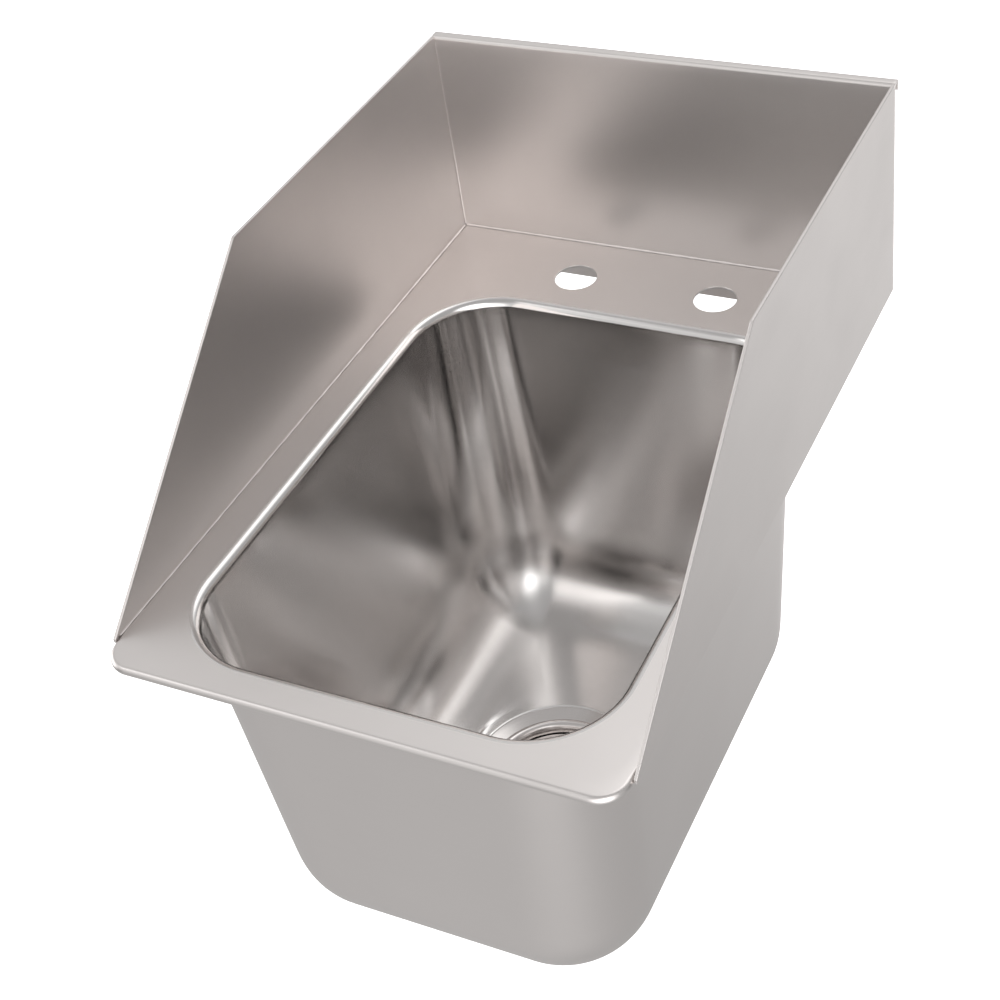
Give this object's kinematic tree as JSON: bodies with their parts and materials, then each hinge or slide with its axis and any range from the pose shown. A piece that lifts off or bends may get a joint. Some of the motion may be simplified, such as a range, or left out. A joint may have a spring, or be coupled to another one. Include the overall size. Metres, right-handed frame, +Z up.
{
  "type": "drop-in sink",
  "caption": "Drop-in hand sink with a deep bowl, back and side splashes, faucet holes and a lift-out basket strainer drain.",
  "frame": {"origin": "middle of the front seat, the strip of the rim's underside that rests on the counter, which is the plane z = 0", "axes": "+Z up, -Y towards the person who uses the sink, +X to the right when seen from the front"},
  "size_m": [0.3186, 0.4695, 0.5798],
  "materials": {
    "sheet_steel": "satin polished stainless sheet",
    "drain_steel": "polished stainless pressing",
    "rubber": "moulded rubber",
    "fibre": "pressed fibre"
  },
  "bodies": {
    "sink": {"deck": "sheet_steel", "bowl": "sheet_steel", "backsplash": "sheet_steel", "left_side_splash": "sheet_steel", "right_side_splash": "sheet_steel", "rear_rail": "sheet_steel", "drain_cup": "drain_steel", "outlet_spud": "drain_steel", "flange_seal": "rubber", "floor_gasket": "rubber", "friction_ring": "fibre", "locknut": "drain_steel", "tailpiece_washer": "rubber", "tailpiece": "drain_steel", "coupling_nut": "drain_steel"},
    "basket": {"strainer_basket": "drain_steel", "basket_post": "drain_steel", "basket_knob": "drain_steel", "basket_stopper": "rubber", "post_nut": "drain_steel"}
  },
  "joints": [
    {"name": "basket_lift", "type": "slide", "parent": "sink", "child": "basket", "axis": [0, 0, 1], "range_m": [0, 0.46]}
  ]
}
